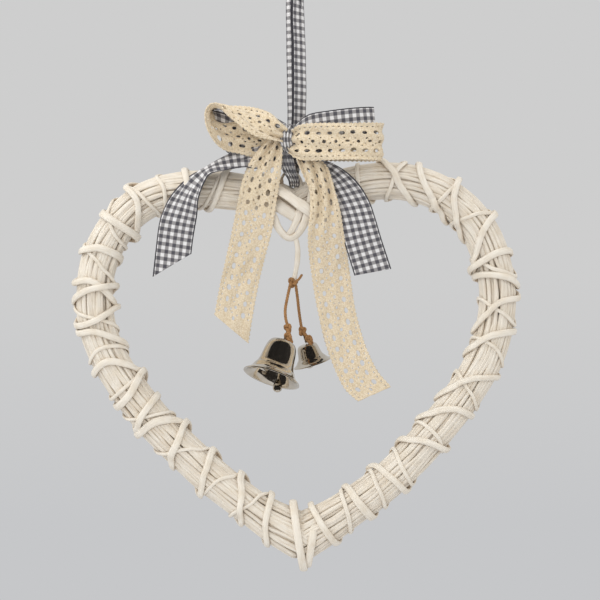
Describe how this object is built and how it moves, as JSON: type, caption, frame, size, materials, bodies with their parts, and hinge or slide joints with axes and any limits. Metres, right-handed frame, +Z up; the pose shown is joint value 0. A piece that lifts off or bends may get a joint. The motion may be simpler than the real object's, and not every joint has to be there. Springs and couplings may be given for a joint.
{
  "type": "rattan heart bell",
  "caption": "Heart-shaped wreath of bound rattan with a double ribbon bow, a ribbon loop to hang it by and small bells on twine.",
  "frame": {"origin": "the point inside the top of the ribbon hanging loop where a peg bears", "axes": "+Z up, +X to the viewer's right, -Y towards the viewer, so the heart lies in the XZ plane"},
  "size_m": [0.3081, 0.0605, 0.4233],
  "materials": {
    "rattan": "whitewashed, satin",
    "gingham": "woven check ribbon, matt",
    "lace": "crochet cotton lace, matt",
    "jute": "twisted fibre, matt",
    "nickel": "polished nickel plate"
  },
  "bodies": {
    "root": {"rattan_arm_left": "rattan", "rattan_arm_right": "rattan", "thick_strand_left": "rattan", "thick_strand_right": "rattan", "thin_strand_left": "rattan", "thin_strand_right": "rattan", "cleft_saddle": "rattan", "cleft_cross": "rattan", "cleft_arch": "rattan", "bell_strand": "rattan", "tip_lashing_left": "rattan", "tip_lashing_right": "rattan", "hanging_loop": "gingham", "ribbon_tie": "gingham", "gingham_knot": "gingham", "gingham_loop_left": "gingham", "gingham_loop_right": "gingham", "gingham_tail_left": "gingham", "gingham_tail_right": "gingham", "lace_loop_left": "lace", "lace_loop_right": "lace", "lace_tail_left": "lace", "lace_tail_right": "lace", "twine_knot_top": "jute", "twine_knot_left": "jute", "twine_knot_right": "jute", "twine_left": "jute", "twine_right": "jute", "bell_left": "nickel", "bell_right": "nickel", "bell_ring_left": "nickel", "bell_ring_right": "nickel", "bell_clapper_left": "nickel", "bell_clapper_right": "nickel"}
  },
  "joints": []
}
